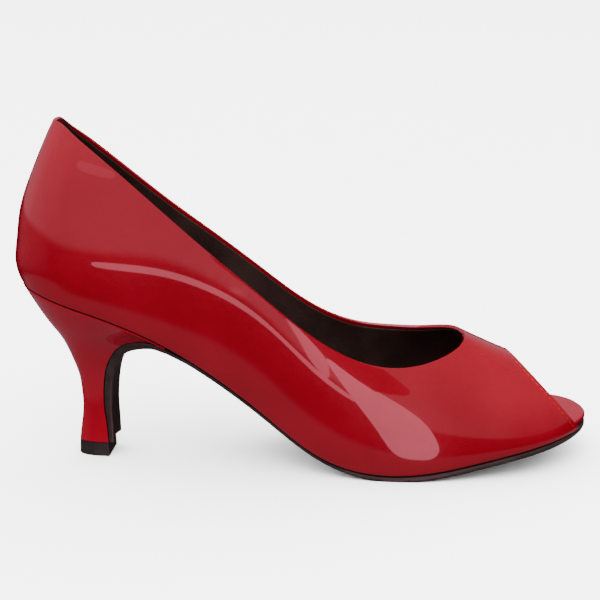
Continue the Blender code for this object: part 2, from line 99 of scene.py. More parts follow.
# %% [markdown]
# ## The tables that a last maker would keep
# A last is described by sections along its length. Each row here is one section, and each
# value is a share of one of the named sizes above. The counter, the topline and the heel have
# a table of the same kind.

# %% The last, section by section
LAST = (
    # station, lift, spring, outer, inner, flare, rise, shoulder, ridge
    (0.000, 1.012, 0.00, 0.311, 0.311, 0.088, 0.30, 0.122, 1.126),
    (0.115, 0.893, 0.00, 0.320, 0.317, 0.088, 0.32, 0.135, 1.115),
    (0.225, 0.745, 0.00, 0.294, 0.294, 0.088, 0.32, 0.203, 1.078),
    (0.330, 0.539, 0.00, 0.284, 0.277, 0.095, 0.33, 0.284, 1.018),
    (0.420, 0.315, 0.00, 0.308, 0.307, 0.095, 0.33, 0.338, 1.009),
    (0.510, 0.096, 0.00, 0.386, 0.398, 0.088, 0.33, 0.365, 1.000),
    (0.600, 0.003, 0.00, 0.451, 0.482, 0.081, 0.34, 0.378, 0.900),
    (0.690, 0.000, 0.08, 0.491, 0.509, 0.068, 0.36, 0.365, 0.732),
    (0.800, 0.000, 0.52, 0.492, 0.459, 0.054, 0.40, 0.305, 0.498),
    (0.900, 0.000, 0.88, 0.476, 0.410, 0.047, 0.48, 0.240, 0.315),
    (1.000, 0.000, 1.02, 0.405, 0.440, 0.041, 0.60, 0.200, 0.190),
)
COUNTER = (
    # height, setback, round
    (0.000, 0.027, 0.378),
    (0.088, 0.000, 0.378),
    (0.256, 0.011, 0.358),
    (0.448, 0.040, 0.324),
    (0.656, 0.111, 0.277),
    (0.858, 0.196, 0.230),
    (1.000, 0.264, 0.203),
    (1.280, 0.430, 0.189),
    (1.760, 0.680, 0.189),
)
TOPLINE = (
    # station, outer, inner
    (0.074, 1.060, 1.060),
    (0.084, 1.076, 1.012),
    (0.095, 1.078, 0.984),
    (0.120, 1.044, 0.942),
    (0.180, 0.950, 0.850),
    (0.250, 0.855, 0.772),
    (0.340, 0.778, 0.742),
    (0.430, 0.757, 0.744),
    (0.515, 0.740, 0.740),
    (0.595, 0.690, 0.703),
    (0.675, 0.664, 0.672),
    (0.730, 0.668, 0.658),
    (0.775, 0.685, 0.685),
    (0.820, 0.740, 0.740),
)
SOLE = (
    # station, thickness, margin
    (0.00, 0.66, -1.2),
    (0.25, 0.66, -1.2),
    (0.40, 0.60, -2.0),
    (0.48, 0.52, -2.4),
    (0.56, 0.74, -1.0),
    (0.64, 1.00, 0.3),
    (0.82, 1.00, 1.0),
    (0.93, 0.95, 0.0),
    (1.00, 0.80, -2.2),
)
HEEL = (
    # back_x, back_z, front_x, front_z, width, seat, scoop, flap
    (0.000, 0.000, 0.000, 0.000, 0.00, 0.00, 1.0, 0.60),
    (-0.047, 0.099, -0.024, 0.187, -0.02, 0.00, 1.0, 0.74),
    (-0.090, 0.210, -0.056, 0.382, -0.02, 0.02, 1.0, 0.92),
    (-0.078, 0.302, -0.034, 0.610, 0.02, 0.06, 1.0, 1.00),
    (-0.038, 0.403, 0.042, 0.785, 0.10, 0.14, 0.9, 1.00),
    (0.093, 0.526, 0.225, 0.945, 0.28, 0.33, 0.6, 0.97),
    (0.285, 0.655, 0.490, 1.022, 0.52, 0.56, 0.3, 0.85),
    (0.590, 0.787, 0.785, 1.036, 0.76, 0.80, 0.1, 0.62),
    (1.000, 1.000, 1.000, 1.000, 1.00, 1.00, 0.0, 0.35),
)
print("sections:", len(LAST), "counter rows:", len(COUNTER), "heel rows:", len(HEEL))


# %% [markdown]
# ## From tables to smooth curves
# A spline through one column of a table gives that size at any station. A natural cubic
# spline has no kinks, and patent leather would show every one of them as a broken reflection.


# %% Splines
def smooth(places, values):
    """A natural cubic spline through the given values."""
    places = np.asarray(places, float)
    values = np.asarray(values, float)
    count = len(places)
    step = np.diff(places)
    matrix = np.eye(count)
    right = np.zeros(count)
    for i in range(1, count - 1):
        matrix[i, i - 1 : i + 2] = step[i - 1], 2 * (step[i - 1] + step[i]), step[i]
        rise_after = (values[i + 1] - values[i]) / step[i]
        rise_before = (values[i] - values[i - 1]) / step[i - 1]
        right[i] = 6 * (rise_after - rise_before)
    bend = np.linalg.solve(matrix, right)

    def at(place):
        place = np.clip(np.asarray(place, float), places[0], places[-1])
        i = np.clip(np.searchsorted(places, place) - 1, 0, count - 2)
        before = place - places[i]
        after = places[i + 1] - place
        wide = step[i]
        return (
            (bend[i] * after**3 + bend[i + 1] * before**3) / (6 * wide)
            + (values[i] / wide - bend[i] * wide / 6) * after
            + (values[i + 1] / wide - bend[i + 1] * wide / 6) * before
        )

    return at


def column(table, index, scale=1.0, start=0.0, length=1.0):
    """A spline through one column of a table, over its first column."""
    places = [start + row[0] * length for row in table]
    return smooth(places, [row[index] * scale for row in table])


def along_last(index, scale=1.0):
    return column(LAST, index, scale, BACK, SHOE_LENGTH)


lift_at = along_last(1, HEEL_LIFT_HEIGHT)
spring_at = along_last(2, TOE_SPRING_HEIGHT)
outer_at = along_last(3, BALL_WIDTH)
inner_at = along_last(4, BALL_WIDTH)
flare_at = along_last(5, BALL_WIDTH)
rise_at = along_last(6)
shoulder_at = along_last(7, BALL_WIDTH)
ridge_at = along_last(8, INSTEP_HEIGHT)
setback_at = column(COUNTER, 1, COUNTER_HEIGHT, 0.0, COUNTER_HEIGHT)
round_at = column(COUNTER, 2, BALL_WIDTH, 0.0, COUNTER_HEIGHT)
topline_at = {
    -1: column(TOPLINE, 1, COUNTER_HEIGHT, BACK, SHOE_LENGTH),
    1: column(TOPLINE, 2, COUNTER_HEIGHT, BACK, SHOE_LENGTH),
}
BACK_ROUND = COUNTER[0][2] * BALL_WIDTH


def edge_height(x):
    """Height of the upper's lower edge."""
    return SOLE_THICKNESS + GAP + lift_at(x) + spring_at(x)


print("lower edge at heel, ball and toe:", edge_height(np.array([BACK, 0.12, TOE])).round(4))

# %% [markdown]
# ## The last as a surface
# A point of the last is found from three numbers: its station along the foot, its share of
# the way from the lower edge (0) to the ridge (1), and its side, -1 for the outer side and 1
# for the inner side. The stations at the back lean with the counter.


# %% Points of the last
LEAN_ROUNDS = 9


def swing(points):
    """Bends the straight shoe into the curve of a right foot. Heights stay."""
    points = np.asarray(points, float)
    x, y, z = points[..., 0], points[..., 1], points[..., 2]
    turn = math.tan(HEEL_TURN)
    bend = (TOE_SWING + turn * TOE) / TOE**2
    slope = 2 * bend * x - turn
    scale = np.sqrt(1 + slope**2)
    middle = bend * x**2 - turn * x
    return np.stack([x - y * slope / scale, middle + y / scale, z], axis=-1)


def section(x, share, side):
    """Half width and height on the section at x."""
    width = np.where(side < 0, outer_at(x), inner_at(x))
    ridge = ridge_at(x)
    a = (1 - share) ** 3
    b = 3 * (1 - share) ** 2 * share
    c = 3 * (1 - share) * share**2
    half = a * width + b * (width + flare_at(x)) + c * shoulder_at(x)
    height = edge_height(x) + b * rise_at(x) * ridge + (c + share**3) * ridge
    return half, height


def above_seat(height):
    return np.clip(height - SEAT_EDGE, 0.0, COUNTER[-1][0] * COUNTER_HEIGHT)


def rounding(x, height):
    """How much of the section's width is left at the rounded back and toe."""
    above = above_seat(height)
    long = round_at(above)
    back = np.clip((BACK + setback_at(above) + long - x) / long, 0, 1)
    toe = np.clip((x - (TOE - TOE_ROUND * SHOE_LENGTH)) / (TOE_ROUND * SHOE_LENGTH), 0, 1)
    at_back = (1 - back**BACK_POWER) ** (1 / BACK_POWER)
    return at_back * (1 - toe**TOE_POWER) ** (1 / TOE_POWER)


def on_last(station, share, side):
    """Point of the straight last. The lean follows the height, so it is found in rounds."""
    station, share = np.broadcast_arrays(
        np.asarray(station, float), np.asarray(share, float)
    )
    upright = BACK + SETTLE_FROM_BACK * SHOE_LENGTH
    straight = BACK + BACK_ROUND
    x = station.copy()
    for _ in range(LEAN_ROUNDS):
        above = above_seat(section(x, share, side)[1])
        back = BACK + setback_at(above)
        bend = back + round_at(above)
        rounded = back + (station - BACK) / BACK_ROUND * (bend - back)
        leaning = bend + (station - straight) * (upright - bend) / (upright - straight)
        x = np.where(station < upright, leaning, station)
        x = np.where(station < straight, rounded, x)
    half, height = section(x, share, side)
    return np.stack([x, side * half * rounding(x, height), height], axis=-1)


def outward(station, share, side):
    """Direction that the surface faces, away from the foot, after the swing."""
    step = 0.0004
    lower = np.clip(share - 0.01, 0, 1)
    upper = np.clip(share + 0.01, 0, 1)
    before = np.maximum(station - step, BACK + 1e-5)
    along = swing(on_last(station + step, share, side)) - swing(
        on_last(before, share, side)
    )
    up = swing(on_last(station, upper, side)) - swing(on_last(station, lower, side))
    normal = np.cross(along, up) * -np.asarray(side, float)[..., None]
    return normal / np.linalg.norm(normal, axis=-1, keepdims=True)


tip = swing(on_last(TOE, 0.0, -1))
print("toe tip:", tip.round(4))

# %% [markdown]
# ## Where the leather is cut
# The topline is a height above the lower edge, so the share at which it cuts a section is
# looked up on that section. The toe opening is cut by a plane. Both can be drawn in by a few
# millimetres, which gives the lining's edge and the line of the stitches.


# %% Topline and toe opening
def crossing(places, over):
    """Where a rising row of values passes zero."""
    i = int(np.argmax(over > 0))
    return places[i - 1] + (places[i] - places[i - 1]) * over[i - 1] / (
        over[i - 1] - over[i]
    )


def topline_share(station, side, drop=0.0):
    shares = np.linspace(0.05, 1.0, 240)
    points = on_last(np.full(shares.shape, station), shares, side)
    x = points[:, 0]
    cut = topline_at[side] if station > BACK else topline_at[-1]
    over = points[:, 2] - edge_height(x) - cut(x) + drop
    return 1.0 if over.max() <= 0 else crossing(shares, over)


def throat_station(drop=0.0):
    x = np.linspace(BACK + 0.6 * SHOE_LENGTH, TOE - 0.6 * OPENING_TOP_LENGTH, 3000)
    return crossing(x, topline_at[-1](x) - drop - ridge_at(x))


def opening_plane():
    top = on_last(TOE - OPENING_TOP_LENGTH, 1.0, -1)
    outer = on_last(TOE - OPENING_OUTER_LENGTH, 0.0, -1)
    inner = on_last(TOE - OPENING_INNER_LENGTH, 0.0, 1)
    normal = np.cross(outer - top, inner - top)
    return top, normal / np.linalg.norm(normal) * np.sign(normal[0])


def opening_station(share, side, back=0.0):
    top, normal = opening_plane()
    stations = np.linspace(TOE - 2 * OPENING_TOP_LENGTH, TOE - 1e-5, 500)
    points = on_last(stations, np.full(stations.shape, share), side)
    return crossing(stations, (points - top) @ normal + back)


print("throat:", round(float(throat_station()), 4))
print("toe opening at the ridge:", round(float(opening_station(1.0, -1)), 4))

# %% [markdown]
# ## A little shader language
# Materials here are written as Python expressions. A Socket stands for one output of a node,
# and adding or multiplying Sockets adds the Math nodes. Every other node comes from
# Finish.node, which takes its type, its settings and what goes into its sockets.


# %% Sockets and finishes
class Socket:
    """An output of a shader node that can be used in sums."""

    def __init__(self, finish, output):
        self.finish = finish
        self.output = output

    def math(self, operation, *values):
        sockets = dict(enumerate(values))
        return self.finish.node("ShaderNodeMath", {"operation": operation}, sockets)

    def __add__(self, other):
        return self.math("ADD", self, other)

    def __radd__(self, other):
        return self.math("ADD", other, self)

    def __sub__(self, other):
        return self.math("SUBTRACT", self, other)

    def __rsub__(self, other):
        return self.math("SUBTRACT", other, self)

    def __mul__(self, other):
        return self.math("MULTIPLY", self, other)

    def __rmul__(self, other):
        return self.math("MULTIPLY", other, self)

    def __truediv__(self, other):
        return self.math("DIVIDE", self, other)

    def __rtruediv__(self, other):
        return self.math("DIVIDE", other, self)

    def between(self, low, high):
        """0 below low, 1 above high, smooth between them."""
        sockets = {"Value": self, "From Min": low, "From Max": high}
        settings = {"interpolation_type": "SMOOTHSTEP", "clamp": True}
        return self.finish.node("ShaderNodeMapRange", settings, sockets)


class Nodes:
    """A node tree that expressions add to."""

    def __init__(self, tree):
        self.tree = tree

    def feed(self, socket, value):
        if isinstance(value, Socket):
            self.tree.links.new(value.output, socket)
        else:
            socket.default_value = value

    def node(self, kind, settings=None, sockets=None, output=0):
        made = self.tree.nodes.new(kind)
        for name, value in (settings or {}).items():
            setattr(made, name, value)
        for name, value in (sockets or {}).items():
            self.feed(made.inputs[name], value)
        return Socket(self, made.outputs[output])

    def place(self):
        """Where a point lies on the shoe, in metres."""
        return self.node("ShaderNodeTexCoord", output=3)

    def noise(self, scale, detail=2.0, roughness=0.5, where=None):
        sockets = {
            "Vector": where or self.place(),
            "Scale": scale,
            "Detail": detail,
            "Roughness": roughness,
        }
        return self.node("ShaderNodeTexNoise", {}, sockets)

    def cells(self, scale, output=0):
        sockets = {"Vector": self.place(), "Scale": scale}
        return self.node("ShaderNodeTexVoronoi", {}, sockets, output)

    def stretched(self, x, y, z):
        sockets = {0: self.place(), 1: (x, y, z)}
        return self.node("ShaderNodeVectorMath", {"operation": "MULTIPLY"}, sockets)

    def axis(self, index):
        return self.node("ShaderNodeSeparateXYZ", {}, {0: self.place()}, index)

    def blend(self, share, first, second):
        """A colour between two others."""
        sockets = {0: share, 6: first, 7: second}
        return self.node("ShaderNodeMix", {"data_type": "RGBA"}, sockets, 2)


class Finish(Nodes):
    """A material built from expressions."""

    def __init__(self, name, **constants):
        self.material = bpy.data.materials.new(name)
        self.material.use_nodes = True
        super().__init__(self.material.node_tree)
        self.shader = self.tree.nodes["Principled BSDF"]
        for socket, value in constants.items():
            self.shader.inputs[socket.replace("_", " ")].default_value = value

    def colour(self, value):
        self.feed(self.shader.inputs["Base Color"], value)

    def rough(self, value):
        self.feed(self.shader.inputs["Roughness"], value)

    def bump(self, height, distance, strength=1.0):
        sockets = {"Height": height, "Distance": distance, "Strength": strength}
        self.feed(
            self.shader.inputs["Normal"], self.node("ShaderNodeBump", {}, sockets)
        )


print("finishes are ready")

# %% [markdown]
# ## Patent leather
# Patent leather is a dyed hide under a thick clear lacquer. The colour sits in the base and
# the lacquer is a coat. The lacquer is never quite flat: it swells and sinks by hundredths
# of a millimetre over a centimetre or two, so the edges of reflections look liquid. Under it
# the grain of the hide shows only faintly.

# %% The red patent leather
PATENT_RED = (0.112, 0.0002, 0.0040, 1.0)
PATENT_DEEP = (0.100, 0.0001, 0.0032, 1.0)
# The heel's copy of the patent leather has a lighter red. The lighter red is painted light, for the
# bounce light that the heel's downward faces don't get.
HEEL_LIT_RED = (0.140, 0.0005, 0.0056, 1.0)
HEEL_LIT_DEEP = (0.125, 0.0003, 0.0046, 1.0)


def patent_finish(name, deep, red, swell=0.00022):
    finish = Finish(
        name,
        Coat_Weight=1.0,
        Coat_Roughness=0.025,
        Coat_IOR=1.5,
        Specular_IOR_Level=0.10,
    )
    cloud = finish.noise(38.0, 3.0)
    finish.colour(finish.blend(cloud.between(0.35, 0.7), deep, red))
    grain = finish.noise(2600.0, 2.0)
    finish.rough(0.20 + 0.10 * grain)
    slow = finish.noise(55.0, 1.0)
    small = finish.noise(210.0, 1.0)
    height = slow + 0.6 * small + 0.002 * grain
    finish.bump(height, swell)
    return finish.material


patent = patent_finish("patent_leather", PATENT_DEEP, PATENT_RED)
# Lighter copy of the patent leather for the heel: painted light, not a different leather.
heel_patent_lit = patent_finish("heel_cover", HEEL_LIT_DEEP, HEEL_LIT_RED, 0.00012)
print("patent leather:", len(patent.node_tree.nodes), "nodes")

# %% [markdown]
# ## Lining, sole and thread
# The lining is a thin dark calf leather with a fine pebble. The sole is a dark resin sheet,
# satin on its edge and rubbed duller underneath. The thread is matched to the leather but
# has no lacquer, so it looks a little more orange.


# %% Dark leather, resin and thread
def lining_finish(name):
    finish = Finish(name, Specular_IOR_Level=0.35)
    pebble = finish.cells(900.0)
    cloud = finish.noise(60.0, 3.0)
    dark = (0.0095, 0.0042, 0.0034, 1.0)
    light = (0.0170, 0.0085, 0.0068, 1.0)
    finish.colour(finish.blend(cloud.between(0.3, 0.75), dark, light))
    finish.rough(0.52 + 0.16 * pebble)
    finish.bump(pebble + 0.4 * finish.noise(1800.0), 0.00006)
    return finish.material


def resin_finish(name, dark, light, rough):
    finish = Finish(name, Specular_IOR_Level=0.35)
    cloud = finish.noise(90.0, 4.0, 0.6)
    scuff = finish.noise(14.0, 5.0, 0.65, finish.stretched(4.0, 30.0, 30.0))
    under = 1.0 - finish.axis(2).between(0.0004, 0.0030)
    worn = under * scuff.between(0.52, 0.70)
    finish.colour(finish.blend(cloud.between(0.35, 0.7) * 0.5 + 0.5 * worn, dark, light))
    finish.rough(rough + 0.12 * cloud + 0.2 * worn)
    finish.bump(finish.noise(1500.0, 3.0) + 0.5 * scuff * under, 0.00004)
    return finish.material


def thread_finish(name):
    finish = Finish(name, Roughness=0.6, Specular_IOR_Level=0.1)
    strand = finish.noise(1400.0, 2.0)
    finish.colour(finish.blend(strand, (0.14, 0.003, 0.003, 1.0), (0.30, 0.012, 0.008, 1.0)))
    finish.bump(strand, 0.00005)
    return finish.material


lining = lining_finish("lining_leather")
sole_resin = resin_finish(
    "sole_resin", (0.0085, 0.0055, 0.0050, 1.0), (0.020, 0.014, 0.013, 1.0), 0.30
)
tip_resin = resin_finish(
    "tip_resin", (0.0050, 0.0042, 0.0040, 1.0), (0.011, 0.0095, 0.0090, 1.0), 0.42
)
thread = thread_finish("thread")
print("materials:", [m.name for m in (lining, sole_resin, tip_resin, thread)])

# %% [markdown]
# ## Helpers for meshes
# A piece is made from points and faces, and doubled points are joined where two halves of
# the shoe meet. Bevels round the cut edges, because a sharp edge catches no light.

# %% Mesh helpers
SAME_POINT = 2e-6


def new_piece(name, vertices, faces, material, sharp=40.0):
    mesh = bpy.data.meshes.new(name)
    mesh.from_pydata([tuple(v) for v in vertices], [], faces)
    work = bmesh.new()
    work.from_mesh(mesh)
    bmesh.ops.remove_doubles(work, verts=work.verts, dist=SAME_POINT)
    bmesh.ops.recalc_face_normals(work, faces=work.faces)
    work.to_mesh(mesh)
    work.free()
    mesh.shade_smooth()
    mesh.set_sharp_from_angle(angle=math.radians(sharp))
    mesh.materials.append(material)
    piece = bpy.data.objects.new(name, mesh)
    bpy.context.scene.collection.objects.link(piece)
    return piece


def round_edges(piece, width, segments=3, angle=50.0):
    bevel = piece.modifiers.new("Rounded edges", "BEVEL")
    bevel.width = width
    bevel.segments = segments
    bevel.limit_method = "ANGLE"
    bevel.angle_limit = math.radians(angle)
    bevel.harden_normals = False


def dress(piece, node):
    """The piece takes a solid's place, or lies on it where node is None."""
    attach(piece, "root")
    if node:
        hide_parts(node)
    size = Vector(piece.dimensions) * 1000
    print(piece.name, "mm:", [round(v, 1) for v in size])
    return piece


print("mesh helpers are ready")

# %% [markdown]
# ## The upper
# The upper is cut from flat leather, pulled over the last and turned in at the topline, the
# toe opening and the sole. One sheet of faces follows the last. At its lower edge it turns
# inwards, as leather does over the edge of the insole board. Solidify gives it its
# thickness, and a bevel rolls its edges.

# %% The sheet that follows the last
PATENT_THICKNESS = 0.0013
LINING_THICKNESS = 0.0004
TURN_RADIUS = 0.0009
LINING_DROP = 0.0015
LINING_BACK = 0.0024
WALL_ROWS = 34
COUNTER_COLUMNS = 26
QUARTER_COLUMNS = 84
VAMP_COLUMNS = 40
EDGE_ROW = 0.0006
CLEAR_OF_EDGE = 0.0014


def shares_by_length(station, top, side, rows):
    """Shares at even distances along a section, closer together at both of its ends."""
    dense = np.linspace(0, top, 160)
    points = on_last(np.full(dense.shape, station), dense, side)
    length = np.r_[0, np.cumsum(np.linalg.norm(np.diff(points, axis=0), axis=1))]
    low = np.array([0.0, 0.17, 0.45]) * TURN_RADIUS
    high = length[-1] - np.array([EDGE_ROW, 0.0])
    even = np.linspace(TURN_RADIUS, length[-1] - CLEAR_OF_EDGE, rows - 4)
    return np.interp(np.concatenate([low, even, high]), length, dense)


def wall_sheet(drop=0.0, back=0.0, inside=0.0):
    """Columns of points for both sides: {side: array of (column, row, 3)}.

    The sheet lies as far inside the last's surface as asked, and turns in at its lower edge.
    """
    throat = throat_station(drop)
    straight = BACK + BACK_ROUND
    turns = np.linspace(0, math.pi / 2, COUNTER_COLUMNS + 1)
    closing = 1 - (1 - np.linspace(0, 1, QUARTER_COLUMNS + 1)) ** 1.7
    stations = np.concatenate(
        [
            BACK + BACK_ROUND * (1 - np.cos(turns)),
            straight + (throat - straight) * closing[1:],
        ]
    )
    sheet = {}
    for side in (-1, 1):
        where = []
        for station in stations:
            top = 1.0 if station >= throat else topline_share(station, side, drop)
            shares = shares_by_length(station, top, side, WALL_ROWS + 1)
            where.append((np.full(shares.shape, station), shares))
        shares = where[-1][1]
        cut = np.array([opening_station(share, side, back) for share in shares])
        spread = np.linspace(0, 1, VAMP_COLUMNS + 1)[1:]
        where += [(throat + (cut - throat) * step, shares) for step in spread]
        points = []
        for station, share in where:
            point = swing(on_last(station, share, side))
            gone = np.r_[0, np.cumsum(np.linalg.norm(np.diff(point, axis=0), axis=1))]
            left = np.clip(TURN_RADIUS - gone, 0, TURN_RADIUS)
            inset = inside + TURN_RADIUS - np.sqrt(TURN_RADIUS**2 - left**2)
            facing = outward(station, share, np.full(share.shape, side))
            point = point - facing * inset[:, None]
            points.append(point)
        sheet[side] = np.array(points)
    return sheet


def sheet_faces(sheet):
    vertices = []
    faces = []
    for side, points in sheet.items():
        first = len(vertices)
        columns, rows = points.shape[:2]
        vertices.extend(points.reshape(-1, 3))
        for i in range(columns - 1):
            for j in range(rows - 1):
                corner = first + i * rows + j
                face = [corner, corner + rows, corner + rows + 1, corner + 1]
                faces.append(face if side < 0 else face[::-1])
    return vertices, faces


outer_sheet = wall_sheet()
print("columns, rows:", outer_sheet[-1].shape[:2])


# %% The patent leather upper
def facing_out(piece):
    """Turns the sheet's faces away from the foot, as Solidify expects."""
    mesh = piece.data
    centre = np.mean([v.co for v in mesh.vertices], axis=0)
    votes = sum(
        math.copysign(p.area, p.normal.dot(p.center - Vector(centre)))
        for p in mesh.polygons
    )
    if votes < 0:
        mesh.flip_normals()


def solidify(piece, thickness, even=True):
    wall = piece.modifiers.new("Thickness", "SOLIDIFY")
    wall.thickness = thickness
    wall.offset = -1.0
    wall.use_even_offset = even


upper = new_piece("upper_patent", *sheet_faces(outer_sheet), patent, 60.0)
facing_out(upper)
solidify(upper, PATENT_THICKNESS)
round_edges(upper, 0.00060, 4)
dress(upper, "upper")

# %% [markdown]
# ## The lining
# The patent leather is folded over the topline, and the lining starts a millimetre or two
# below the fold. So the lining is its own thin sheet, drawn in from the topline and from the
# toe opening, and set just inside the patent leather.

# %% The lining
LINING_CLEARANCE = 0.00004
lining_sheet = wall_sheet(LINING_DROP, LINING_BACK, PATENT_THICKNESS + LINING_CLEARANCE)
lining_piece = new_piece("upper_lining", *sheet_faces(lining_sheet), lining, 60.0)
facing_out(lining_piece)
solidify(lining_piece, LINING_THICKNESS, even=False)
dress(lining_piece, None)

# %% [markdown]
# ## Stitches
# A row of stitches holds the folded edge of the toe opening. Each stitch is a short grain
# of thread that dips into the leather at both ends. Points spaced evenly along the cut edge
# give the places.

# %% Thread along an edge
STITCH_LENGTH = 0.0019
STITCH_GAP = 0.0006
THREAD_RADIUS = 0.00016
OPENING_STITCH = 0.0014
STITCH_RINGS = 7
THREAD_SIDES = 6


def opening_route(back):
    """Places along the toe opening, from the outer sole edge over to the inner one."""
    shares = np.linspace(0.02, 1.0, 90)
    outer = [(opening_station(s, -1, back), s, -1) for s in shares]
    inner = [(opening_station(s, 1, back), s, 1) for s in shares]
    return np.array(outer + inner[::-1])


def stitch_row(name, route):
    station, share, side = route.T
    half = [on_last(station, share, -1), on_last(station, share, 1)]
    points = swing(np.where(side[:, None] < 0, half[0], half[1]))
    facing = [outward(station, share, np.full(side.shape, s)) for s in (-1, 1)]
    normals = np.where(side[:, None] < 0, facing[0], facing[1])
    gone = np.r_[0, np.cumsum(np.linalg.norm(np.diff(points, axis=0), axis=1))]
    count = int(gone[-1] // (STITCH_LENGTH + STITCH_GAP))
    pitch = gone[-1] / count
    share_of_pitch = STITCH_LENGTH / (STITCH_LENGTH + STITCH_GAP)
    turns = np.linspace(0, 2 * math.pi, THREAD_SIDES + 1)[:-1]
    vertices = []
    faces = []
    for k in range(count):
        along = np.linspace(0, 1, STITCH_RINGS)
        where = (k + 0.5 + (along - 0.5) * share_of_pitch) * pitch
        middle = np.stack([np.interp(where, gone, points[:, a]) for a in range(3)], 1)
        out = np.stack([np.interp(where, gone, normals[:, a]) for a in range(3)], 1)
        out /= np.linalg.norm(out, axis=1)[:, None]
        ahead = np.gradient(middle, axis=0)
        ahead /= np.linalg.norm(ahead, axis=1)[:, None]
        across = np.cross(ahead, out)
        bow = np.sin(along * math.pi)
        thick = THREAD_RADIUS * (0.35 + 0.65 * bow**0.5)
        lifted = middle + out * (bow * 0.00016 - 0.00010)[:, None]
        first = len(vertices)
        for ring in range(STITCH_RINGS):
            for turn in turns:
                spoke = math.cos(turn) * across[ring] + math.sin(turn) * out[ring]
                vertices.append(lifted[ring] + spoke * thick[ring])
        for ring in range(STITCH_RINGS - 1):
            for j in range(THREAD_SIDES):
                a = first + ring * THREAD_SIDES + j
                b = first + ring * THREAD_SIDES + (j + 1) % THREAD_SIDES
                faces.append([a, b, b + THREAD_SIDES, a + THREAD_SIDES])
        last = len(vertices) - THREAD_SIDES
        faces.append([first + j for j in range(THREAD_SIDES)])
        faces.append([last + j for j in range(THREAD_SIDES)])
    print(name, "stitches:", count)
    return new_piece(name, vertices, faces, thread, 80.0)


opening_stitches = stitch_row("toe_opening_stitches", opening_route(OPENING_STITCH))
dress(opening_stitches, None)

# %% [markdown]
# ## Plates under the foot
# Insole and outsole are plates: an upper and a lower sheet of faces with the same layout,
# joined round their rim. More sheets between them round the edge.


# %% Stacked sheets
def rim_of(sheet):
    """Indices (row, place) round a sheet of rows, whose end rows may be one point."""
    last = len(sheet) - 1
    front = [(0, j) for j in range(len(sheet[0]))]
    right = [(i, len(sheet[i]) - 1) for i in range(1, last)]
    end = [(last, j) for j in reversed(range(len(sheet[last])))]
    left = [(i, 0) for i in reversed(range(1, last))]
    return front + right + end + left


def stacked_piece(name, sheets, material, sharp=40.0):
    rim = rim_of(sheets[0])
    vertices = []
    index = {}
    for level, sheet in enumerate(sheets):
        whole = level in (0, len(sheets) - 1)
        every = [(i, j) for i, row in enumerate(sheet) for j in range(len(row))]
        for i, j in every if whole else rim:
            index[level, i, j] = len(vertices)
            vertices.append(sheet[i][j])
    faces = []
    for level in (0, len(sheets) - 1):
        sheet = sheets[level]
        for i in range(len(sheet) - 1):
            one, two = len(sheet[i]), len(sheet[i + 1])
            for j in range(max(one, two) - 1):
                corners = [
                    (i, min(j, one - 1)),
                    (i, min(j + 1, one - 1)),
                    (i + 1, min(j + 1, two - 1)),
                    (i + 1, min(j, two - 1)),
                ]
                face = list(dict.fromkeys(index[(level, *c)] for c in corners))
                faces.append(face if level else face[::-1])
    for level in range(len(sheets) - 1):
        for one, two in zip(rim, rim[1:] + rim[:1]):
            lower = [index[(level, *one)], index[(level, *two)]]
            upper_pair = [index[(level + 1, *two)], index[(level + 1, *one)]]
            faces.append(lower + upper_pair)
    return new_piece(name, vertices, faces, material, sharp)


def outline(stations, side, inset):
    """The lower edge in plan, moved inwards by inset. The ends lie on the middle line."""
    flat = on_last(stations, np.zeros(len(stations)), side)[:, :2]
    along = np.gradient(flat, axis=0)
    along[0] = along[-1] = (0.0, 1.0)
    inward = np.column_stack([along[:, 1], -along[:, 0]]) * side
    inward[0] = (1.0, 0.0)
    inward[-1] = (-1.0, 0.0)
    inward /= np.linalg.norm(inward, axis=1)[:, None]
    moved = flat + inward * np.asarray(inset, float)[:, None]
    moved[[0, -1], 1] = 0.0
    return moved


def across(outer, inner, height, columns=14):
    """A row of points from the outer to the inner side."""
    shares = np.linspace(0, 1, columns + 1)[:, None]
    flat = outer[None, :2] * (1 - shares) + inner[None, :2] * shares
    return np.column_stack([flat, height(flat[:, 0])])


def plate_stations(start, count, end=TOE):
    """Stations closer together where the outline turns."""
    turns = np.linspace(0, math.pi, count + 1)
    even = np.linspace(0, 1, count + 1)
    return start + (end - start) * (0.5 * (1 - np.cos(turns)) * 0.7 + even * 0.3)


print("plates are ready")

# %% [markdown]
# ## The insole
# The board is wrapped in the same patent leather, which shows in the open toe. A sock of
# lining leather is glued on top of it and stops short of the toes.

# %% The insole and its sock
PLATE_ROWS = 150
INSOLE_EDGE_RADIUS = 0.0007
SOCK_THICKNESS = 0.0004
SOCK_END = 0.0460
SOCK_FRONT_BOW = 0.012
SOCK_LIFT = 0.00004
SOCK_SHOULDER = 0.0003
SOCK_INSET = 0.0001
SOCK_TOP_INSET = 0.0003


def insole_sheet(height, drawn_in, stations, free_reach):
    sides = {}
    for side, reach in free_reach.items():
        free = np.clip((stations - (TOE - reach)) / reach, 0, 1)
        inset = (UPPER_THICKNESS + 2 * GAP) * (1 - free) + GAP * free + drawn_in
        sides[side] = outline(stations, side, inset)
    rows = [
        across(one, two, lambda x: edge_height(x) + height)
        for one, two in zip(sides[-1], sides[1])
    ]
    rows[0] = rows[0][:1]
    rows[-1] = rows[-1][:1]
    return [swing(row) for row in rows]


def rounded_profile(thickness, radius, steps=4):
    """(height, how far drawn in) up the edge of a plate with rounded corners."""
    turns = np.linspace(0, math.pi / 2, steps + 1)
    low = [(radius * (1 - math.cos(t)), radius * (1 - math.sin(t))) for t in turns]
    high = [(thickness - h, d) for h, d in reversed(low)]
    return low + high


plate = plate_stations(BACK, PLATE_ROWS)
free_toe = {-1: OPENING_OUTER_LENGTH, 1: OPENING_INNER_LENGTH}
insole = stacked_piece(
    "insole_board",
    [
        insole_sheet(h, d, plate, free_toe)
        for h, d in rounded_profile(INSOLE_THICKNESS, INSOLE_EDGE_RADIUS)
    ],
    patent,
)
dress(insole, "insole")


